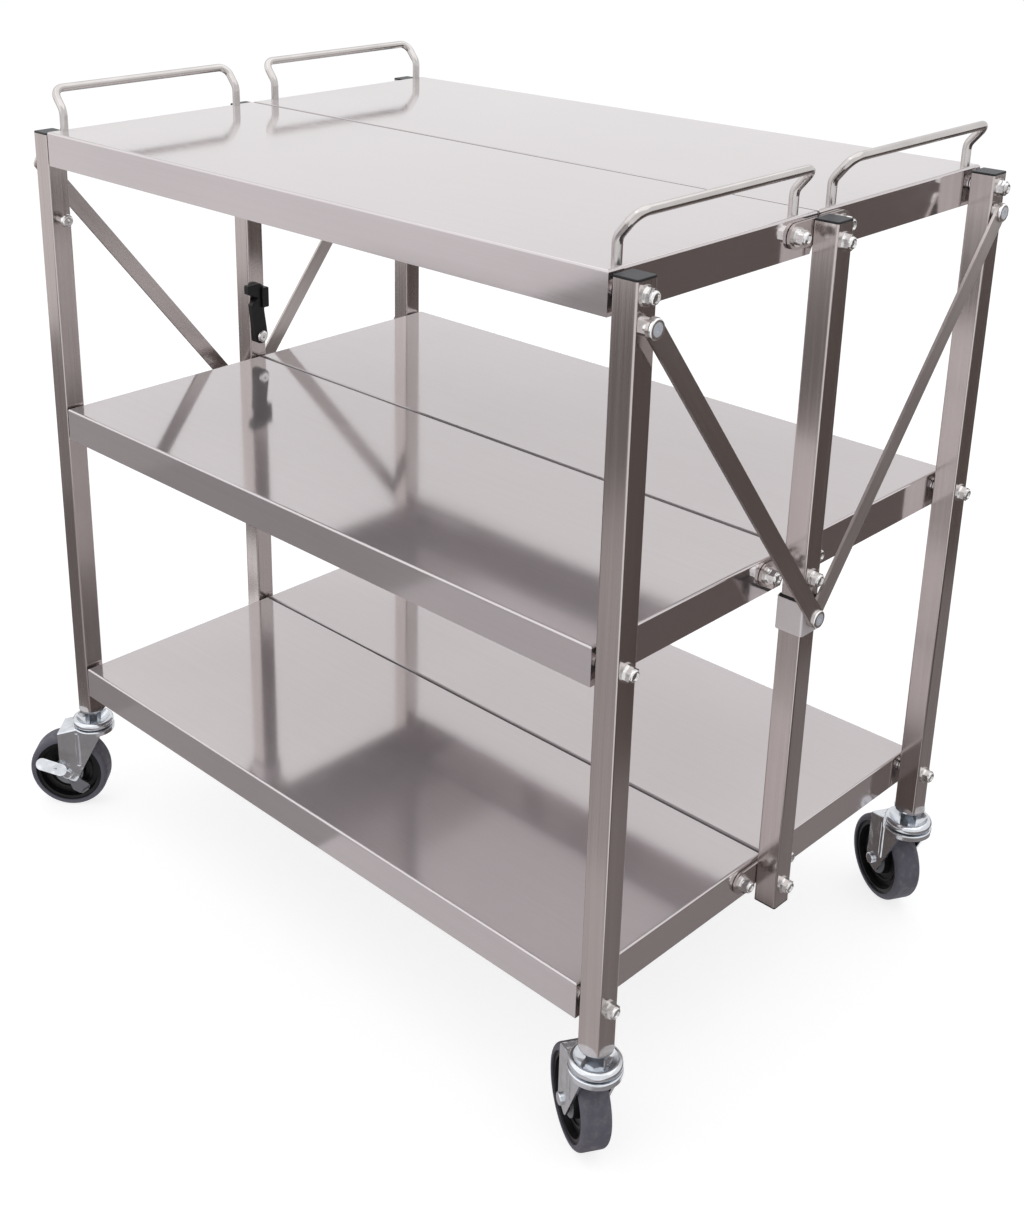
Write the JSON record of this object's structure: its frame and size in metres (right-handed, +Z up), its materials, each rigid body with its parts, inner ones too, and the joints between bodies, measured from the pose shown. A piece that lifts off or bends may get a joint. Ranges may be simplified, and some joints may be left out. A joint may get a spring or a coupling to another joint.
{
  "type": "folding trolley",
  "caption": "Folding service trolley: split sheet trays hinged between square posts, sliding brace sleeves, bent-rod handles, a latch hook and swivel casters.",
  "frame": {"origin": "on the floor under the middle of the trolley's bounding box", "axes": "+X along the length to the front end, +Y across to the far side, +Z up"},
  "size_m": [0.9394, 0.6734, 0.9225],
  "materials": {
    "stainless_sheet": "satin",
    "stainless_tube": "brushed",
    "polished_rod": "polished",
    "bright_fastener": "bright",
    "zinc_plate": "zinc plated",
    "grey_tyre": "matte rubber",
    "black_core": "moulded",
    "cap_plastic": "moulded",
    "black_plastic": "moulded"
  },
  "bodies": {
    "near_frame": {"near_front_post": "stainless_tube", "near_rear_post": "stainless_tube", "near_post_caps": "cap_plastic", "near_pivot_fasteners": "bright_fastener", "near_brace_pivots": "bright_fastener", "near_post_inserts": "zinc_plate", "latch_peg": "bright_fastener", "near_front_caster_head": "zinc_plate", "near_rear_caster_head": "zinc_plate"},
    "near_top": {"near_top_tray": "stainless_sheet", "near_handles": "polished_rod", "near_handle_screws": "bright_fastener"},
    "near_middle": {"near_middle_tray": "stainless_sheet"},
    "near_bottom": {"near_bottom_tray": "stainless_sheet"},
    "centre_frame": {"front_centre_post": "stainless_tube", "rear_centre_post": "stainless_tube", "centre_post_caps": "cap_plastic", "hinge_plates": "stainless_sheet", "hinge_pivot_fasteners": "bright_fastener", "hinge_plate_fasteners": "bright_fastener", "latch_screw": "bright_fastener"},
    "far_top": {"far_top_tray": "stainless_sheet", "far_handles": "polished_rod", "far_handle_screws": "bright_fastener"},
    "far_middle": {"far_middle_tray": "stainless_sheet"},
    "far_bottom": {"far_bottom_tray": "stainless_sheet"},
    "far_frame": {"far_front_post": "stainless_tube", "far_rear_post": "stainless_tube", "far_post_caps": "cap_plastic", "far_pivot_fasteners": "bright_fastener", "far_brace_pivots": "bright_fastener", "far_post_inserts": "zinc_plate", "far_front_caster_head": "zinc_plate", "far_rear_caster_head": "zinc_plate"},
    "near_braces": {"near_front_brace": "stainless_tube", "near_rear_brace": "stainless_tube", "brace_pins": "bright_fastener"},
    "far_braces": {"far_front_brace": "stainless_tube", "far_rear_brace": "stainless_tube"},
    "sleeves": {"sleeves": "stainless_tube", "sleeve_liners": "black_plastic"},
    "latch_hook": {"latch": "black_plastic"},
    "near_front_fork": {"near_front_caster_fork": "zinc_plate", "near_front_caster_axle": "zinc_plate"},
    "near_front_wheel": {"near_front_wheel_core": "black_core", "near_front_tyre": "grey_tyre"},
    "near_rear_fork": {"near_rear_caster_fork": "zinc_plate", "near_rear_caster_axle": "zinc_plate"},
    "near_rear_wheel": {"near_rear_wheel_core": "black_core", "near_rear_tyre": "grey_tyre"},
    "near_rear_lever": {"near_rear_brake_lever": "zinc_plate"},
    "far_front_fork": {"far_front_caster_fork": "zinc_plate", "far_front_caster_axle": "zinc_plate"},
    "far_front_wheel": {"far_front_wheel_core": "black_core", "far_front_tyre": "grey_tyre"},
    "far_rear_fork": {"far_rear_caster_fork": "zinc_plate", "far_rear_caster_axle": "zinc_plate"},
    "far_rear_wheel": {"far_rear_wheel_core": "black_core", "far_rear_tyre": "grey_tyre"},
    "far_rear_lever": {"far_rear_brake_lever": "zinc_plate"}
  },
  "joints": [
    {"name": "near_top_fold", "type": "hinge", "parent": "near_frame", "child": "near_top", "pos_m": [0.02806, -0.26653, 0.857], "axis": [1, 0, 0], "range_deg": [0, 58]},
    {"name": "near_middle_fold", "type": "hinge", "parent": "near_frame", "child": "near_middle", "pos_m": [0.02806, -0.26653, 0.531], "axis": [1, 0, 0], "range_deg": [0, 58.05]},
    {"name": "near_bottom_fold", "type": "hinge", "parent": "near_frame", "child": "near_bottom", "pos_m": [0.02806, -0.26653, 0.186], "axis": [1, 0, 0], "range_deg": [0, 58.05]},
    {"name": "centre_fold", "type": "hinge", "parent": "near_top", "child": "centre_frame", "pos_m": [0.02806, -0.02603, 0.857], "axis": [1, 0, 0], "range_deg": [-58.05, 0]},
    {"name": "far_top_fold", "type": "hinge", "parent": "centre_frame", "child": "far_top", "pos_m": [0.02806, 0.04597, 0.857], "axis": [1, 0, 0], "range_deg": [-58.05, 0]},
    {"name": "far_middle_fold", "type": "hinge", "parent": "centre_frame", "child": "far_middle", "pos_m": [0.02806, 0.04597, 0.531], "axis": [1, 0, 0], "range_deg": [-58.05, 0]},
    {"name": "far_bottom_fold", "type": "hinge", "parent": "centre_frame", "child": "far_bottom", "pos_m": [0.02806, 0.04597, 0.186], "axis": [1, 0, 0], "range_deg": [-58.05, 0]},
    {"name": "far_frame_fold", "type": "hinge", "parent": "far_top", "child": "far_frame", "pos_m": [0.02806, 0.28647, 0.857], "axis": [1, 0, 0], "range_deg": [0, 58.05]},
    {"name": "near_brace_swing", "type": "hinge", "parent": "near_frame", "child": "near_braces", "pos_m": [0.02806, -0.26653, 0.8327], "axis": [1, 0, 0], "range_deg": [-16.95, 0]},
    {"name": "far_brace_swing", "type": "hinge", "parent": "far_frame", "child": "far_braces", "pos_m": [0.02806, 0.28647, 0.8327], "axis": [1, 0, 0], "range_deg": [0, 16.95]},
    {"name": "sleeve_slide", "type": "slide", "parent": "centre_frame", "child": "sleeves", "axis": [0, 0, -1], "range_m": [0, 0.26963]},
    {"name": "latch_swing", "type": "hinge", "parent": "centre_frame", "child": "latch_hook", "pos_m": [-0.37454, 0.00997, 0.5757], "axis": [1, 0, 0], "range_deg": [0, 72]},
    {"name": "near_front_swivel", "type": "hinge", "parent": "near_frame", "child": "near_front_fork", "pos_m": [0.44316, -0.26653, 0.1145], "axis": [0, 0, 1], "continuous": true},
    {"name": "near_front_roll", "type": "hinge", "parent": "near_front_fork", "child": "near_front_wheel", "pos_m": [0.41458, -0.25003, 0.05], "axis": [-0.5, -0.866, 0], "continuous": true},
    {"name": "near_rear_swivel", "type": "hinge", "parent": "near_frame", "child": "near_rear_fork", "pos_m": [-0.38704, -0.26653, 0.1145], "axis": [0, 0, 1], "continuous": true},
    {"name": "near_rear_roll", "type": "hinge", "parent": "near_rear_fork", "child": "near_rear_wheel", "pos_m": [-0.41157, -0.28861, 0.05], "axis": [0.6691, -0.7431, 0], "continuous": true},
    {"name": "near_rear_brake", "type": "hinge", "parent": "near_rear_fork", "child": "near_rear_lever", "pos_m": [-0.41157, -0.28861, 0.05], "axis": [0.6691, -0.7431, 0], "range_deg": [0, 12]},
    {"name": "far_front_swivel", "type": "hinge", "parent": "far_frame", "child": "far_front_fork", "pos_m": [0.44316, 0.28647, 0.1145], "axis": [0, 0, 1], "continuous": true},
    {"name": "far_front_roll", "type": "hinge", "parent": "far_front_fork", "child": "far_front_wheel", "pos_m": [0.41402, 0.30196, 0.05], "axis": [-0.4695, -0.8829, 0], "continuous": true},
    {"name": "far_rear_swivel", "type": "hinge", "parent": "far_frame", "child": "far_rear_fork", "pos_m": [-0.38704, 0.28647, 0.1145], "axis": [0, 0, 1], "continuous": true},
    {"name": "far_rear_roll", "type": "hinge", "parent": "far_rear_fork", "child": "far_rear_wheel", "pos_m": [-0.41876, 0.27737, 0.05], "axis": [0.2756, -0.9613, 0], "continuous": true},
    {"name": "far_rear_brake", "type": "hinge", "parent": "far_rear_fork", "child": "far_rear_lever", "pos_m": [-0.41876, 0.27737, 0.05], "axis": [0.2756, -0.9613, 0], "range_deg": [0, 12]}
  ],
  "couplings": [
    {"joint": "near_middle_fold", "follows": "near_top_fold", "ratio": 1},
    {"joint": "near_bottom_fold", "follows": "near_top_fold", "ratio": 1},
    {"joint": "centre_fold", "follows": "near_top_fold", "ratio": -1},
    {"joint": "far_top_fold", "follows": "near_top_fold", "ratio": -1},
    {"joint": "far_middle_fold", "follows": "near_top_fold", "ratio": -1},
    {"joint": "far_bottom_fold", "follows": "near_top_fold", "ratio": -1},
    {"joint": "far_frame_fold", "follows": "near_top_fold", "ratio": 1},
    {"joint": "near_brace_swing", "follows": "near_top_fold", "ratio": -0.29147},
    {"joint": "far_brace_swing", "follows": "near_top_fold", "ratio": 0.29147},
    {"joint": "sleeve_slide", "follows": "near_top_fold", "m_per_rad": 0.26606}
  ]
}
